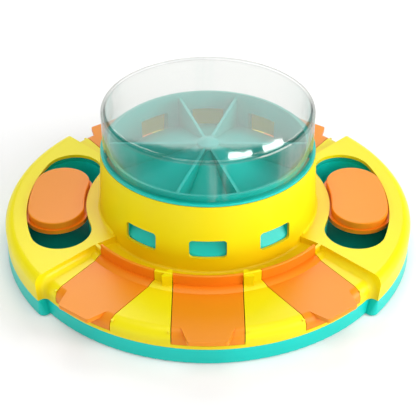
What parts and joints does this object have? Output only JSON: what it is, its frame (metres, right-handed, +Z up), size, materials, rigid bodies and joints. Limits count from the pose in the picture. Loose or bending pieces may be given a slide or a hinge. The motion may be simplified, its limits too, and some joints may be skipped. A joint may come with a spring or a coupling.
{
  "type": "dog puzzle feeder",
  "caption": "Round puzzle feeder for dogs with lift-up flaps, sliding covers and a turning food wheel under a clear lid.",
  "frame": {"origin": "middle of the footprint, on the surface that the feet stand on", "axes": "+Z up, -Y towards the front flap, +X to the right-hand slider"},
  "size_m": [0.2814, 0.2808, 0.1042],
  "materials": {
    "teal_plastic": "satin",
    "yellow_plastic": "satin",
    "orange_plastic": "satin",
    "clear_plastic": "gloss",
    "bearing_plastic": "matte",
    "steel": "brushed",
    "rubber_pad": "matte"
  },
  "bodies": {
    "tray": {"base_tray": "teal_plastic", "treat_cups": "teal_plastic", "slider_well_right": "teal_plastic", "slider_well_left": "teal_plastic", "wheel_post": "teal_plastic", "support_ring": "teal_plastic", "screw_posts": "teal_plastic", "upper_shell": "yellow_plastic", "turret": "yellow_plastic", "wheel_bush": "bearing_plastic", "shell_screws": "steel", "rubber_feet": "rubber_pad", "hinge_pin_front_centre": "steel", "hinge_pin_front_right": "steel", "hinge_pin_front_left": "steel", "hinge_pin_back_centre": "steel", "hinge_pin_back_right": "steel", "hinge_pin_back_left": "steel"},
    "wheel": {"food_wheel": "teal_plastic", "wheel_hub": "teal_plastic", "wheel_dividers": "teal_plastic", "wheel_chutes": "teal_plastic", "wheel_washer": "steel", "wheel_screw": "steel"},
    "lid": {"clear_lid": "clear_plastic"},
    "flap_front_centre": {"flap_front_centre": "orange_plastic"},
    "flap_front_right": {"flap_front_right": "orange_plastic"},
    "flap_front_left": {"flap_front_left": "orange_plastic"},
    "flap_back_centre": {"flap_back_centre": "orange_plastic"},
    "flap_back_right": {"flap_back_right": "orange_plastic"},
    "flap_back_left": {"flap_back_left": "orange_plastic"},
    "slider_right": {"slider_right": "orange_plastic"},
    "slider_left": {"slider_left": "orange_plastic"}
  },
  "joints": [
    {"name": "flap_front_centre_hinge", "type": "hinge", "parent": "tray", "child": "flap_front_centre", "pos_m": [0, -0.088, 0.0195], "axis": [-1, 0, 0], "range_deg": [0, 50]},
    {"name": "flap_front_right_hinge", "type": "hinge", "parent": "tray", "child": "flap_front_right", "pos_m": [0.05173, -0.07119, 0.0195], "axis": [-0.809, -0.5878, 0], "range_deg": [0, 50]},
    {"name": "flap_front_left_hinge", "type": "hinge", "parent": "tray", "child": "flap_front_left", "pos_m": [-0.05173, -0.07119, 0.0195], "axis": [-0.809, 0.5878, 0], "range_deg": [0, 50]},
    {"name": "flap_back_centre_hinge", "type": "hinge", "parent": "tray", "child": "flap_back_centre", "pos_m": [0, 0.088, 0.0195], "axis": [1, 0, 0], "range_deg": [0, 50]},
    {"name": "flap_back_right_hinge", "type": "hinge", "parent": "tray", "child": "flap_back_right", "pos_m": [0.05173, 0.07119, 0.0195], "axis": [0.809, -0.5878, 0], "range_deg": [0, 50]},
    {"name": "flap_back_left_hinge", "type": "hinge", "parent": "tray", "child": "flap_back_left", "pos_m": [-0.05173, 0.07119, 0.0195], "axis": [0.809, 0.5878, 0], "range_deg": [0, 50]},
    {"name": "slider_right_swing", "type": "hinge", "parent": "tray", "child": "slider_right", "pos_m": [0, 0, 0.023], "axis": [0, 0, 1], "range_deg": [-12.5, 11]},
    {"name": "slider_left_swing", "type": "hinge", "parent": "tray", "child": "slider_left", "pos_m": [0, 0, 0.023], "axis": [0, 0, 1], "range_deg": [-11, 12.5]},
    {"name": "wheel_turn", "type": "hinge", "parent": "tray", "child": "wheel", "pos_m": [0, 0, 0.0572], "axis": [0, 0, 1], "continuous": true},
    {"name": "lid_lift", "type": "slide", "parent": "wheel", "child": "lid", "axis": [0, 0, 1], "range_m": [0, 0.04]}
  ]
}
